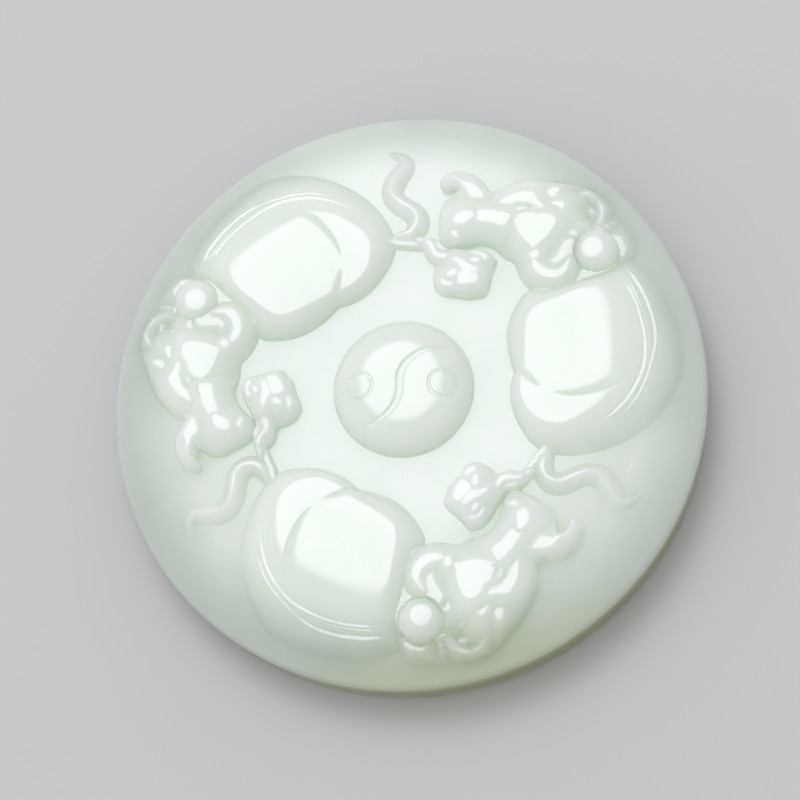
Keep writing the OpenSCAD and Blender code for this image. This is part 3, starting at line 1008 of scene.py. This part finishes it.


# Painted shade darker towards the rim, painted light yellower towards one side of it, and painted
# olive shade on the side there
def shaded_tints(tree, place, colour):
    # Painted shade: darker towards the rim
    far = add_node(tree, "VectorMath", {0: place, 1: RIM_SHADE_AROUND}, operation="DISTANCE")
    rim_shade = share_node(tree, far.outputs["Value"], RIM_SHADE_FROM, RIM_SHADE_TO)
    colour = colour_node(tree, rim_shade, colour, RIM_SHADE_TINT, "MULTIPLY")
    # Painted light: yellower towards the lower rim, like light shining through the stone
    way = add_node(tree, "VectorMath", {0: place, 1: LOWER_RIM_WAY}, operation="DOT_PRODUCT")
    through_light = share_node(tree, way.outputs["Value"], THROUGH_LIGHT_FROM, THROUGH_LIGHT_TO, "SMOOTHSTEP")
    colour = colour_node(tree, through_light, colour, THROUGH_LIGHT_TINT, "MULTIPLY")
    # Painted shade: olive and darker low on the side of that half
    height = add_node(tree, "SeparateXYZ", {0: place}).outputs["Z"]
    normal = add_node(tree, "NewGeometry").outputs["Normal"]
    facing = add_node(tree, "SeparateXYZ", {0: normal}).outputs["Z"]
    low = share_node(tree, height, SIDE_SHADE_TOP, SIDE_SHADE_LOW, "SMOOTHSTEP")
    side = product_node(tree, low, share_node(tree, facing, *SIDE_SHADE_FACING))
    near = share_node(tree, way.outputs["Value"], SIDE_SHADE_FROM, SIDE_SHADE_TO, "SMOOTHSTEP")
    return colour_node(tree, product_node(tree, side, near), colour, SIDE_SHADE_COLOUR)


def wavy_polish(tree, place):
    wave = add_node(tree, "TexNoise", {
        "Vector": place, "Scale": WAVE_SCALE, "Detail": WAVE_DETAIL})
    return add_node(tree, "Bump", {
        "Strength": WAVE_STRENGTH, "Distance": WAVE_DEPTH,
        "Height": wave.outputs["Fac"]}).outputs["Normal"]


# Polished white nephrite, with light going deep into it
def jade_material():
    mat = bpy.data.materials.new("jade")
    mat.use_nodes = True
    tree = mat.node_tree
    place = add_node(tree, "TexCoord").outputs["Object"]
    shader = tree.nodes["Principled BSDF"]
    colour = shaded_tints(tree, place, cloud_colour(tree, place))
    tree.links.new(colour, shader.inputs["Base Color"])
    tree.links.new(wavy_polish(tree, place), shader.inputs["Normal"])
    for name, value in STONE.items():
        shader.inputs[name].default_value = value
    return mat


def add_camera():
    data = bpy.data.cameras.new("camera")
    data.lens = CAMERA_LENS
    data.sensor_width = CAMERA_SENSOR
    data.clip_start, data.clip_end = CAMERA_CLIP
    cam = add_object("camera", data)
    axes = Matrix((CAMERA_RIGHT, CAMERA_UP, CAMERA_BACK)).transposed().to_4x4()
    cam.matrix_world = Matrix.Translation(Vector(CAMERA_PLACE) * MM) @ axes
    bpy.context.scene.camera = cam


def add_softbox():
    data = bpy.data.lights.new("softbox", "AREA")
    data.shape = "RECTANGLE"
    data.size, data.size_y = 2 * SOFTBOX_HALF[0], 2 * SOFTBOX_HALF[1]
    data.energy = SOFTBOX_WATTS
    data.color = SOFTBOX_COLOUR
    data.use_nodes = True
    tree = data.node_tree
    place = add_node(tree, "NewGeometry").outputs["Parametric"]
    middle = (SOFTBOX_EDGE, SOFTBOX_EDGE, 0)
    far = add_node(tree, "VectorMath", {0: place, 1: middle}, operation="DISTANCE")
    bright = SOFTBOX_EDGE * (1 - SOFTBOX_FADE)
    fade = share_node(tree, far.outputs["Value"], SOFTBOX_EDGE, bright, "SMOOTHSTEP")
    tree.links.new(fade, tree.nodes["Emission"].inputs["Strength"])
    obj = add_object("softbox", data)
    obj.location = SOFTBOX_WAY * SOFTBOX_FAR + Vector((0, 0, GROUND_Z * MM))
    obj.rotation_euler = SOFTBOX_WAY.to_track_quat("Z", "Y").to_euler()


def add_room():
    world = bpy.data.worlds.new("room")
    world.use_nodes = True
    tree = world.node_tree
    way = add_node(tree, "TexCoord").outputs["Generated"]
    side = add_node(tree, "VectorMath", {0: way, 1: ROOM_WAY}, operation="DOT_PRODUCT")
    light = add_node(tree, "MapRange", {
        "Value": side.outputs["Value"], "From Min": -1, "From Max": 1,
        "To Min": ROOM_DIM, "To Max": ROOM_BRIGHT})
    background = tree.nodes["Background"]
    background.inputs["Color"].default_value = ROOM_COLOUR
    tree.links.new(light.outputs[0], background.inputs["Strength"])
    bpy.context.scene.world = world


def add_floor():
    corners = [(-1, -1, 0), (1, -1, 0), (1, 1, 0), (-1, 1, 0)]
    floor = mesh_object("floor", np.array(corners) * FLOOR_HALF, [(0, 1, 2, 3)])
    mat = bpy.data.materials.new("floor")
    mat.use_nodes = True
    shader = mat.node_tree.nodes["Principled BSDF"]
    shader.inputs["Base Color"].default_value = FLOOR_COLOUR
    shader.inputs["Roughness"].default_value = FLOOR_ROUGHNESS
    floor.data.materials.append(mat)


carving = jade_mesh()
carving.data.materials.append(jade_material())
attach(carving, "root")
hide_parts("jade_pendant")

add_camera()
add_softbox()
add_room()
add_floor()
bpy.context.scene.view_settings.view_transform = "Standard"
bpy.context.scene.view_settings.look = "None"
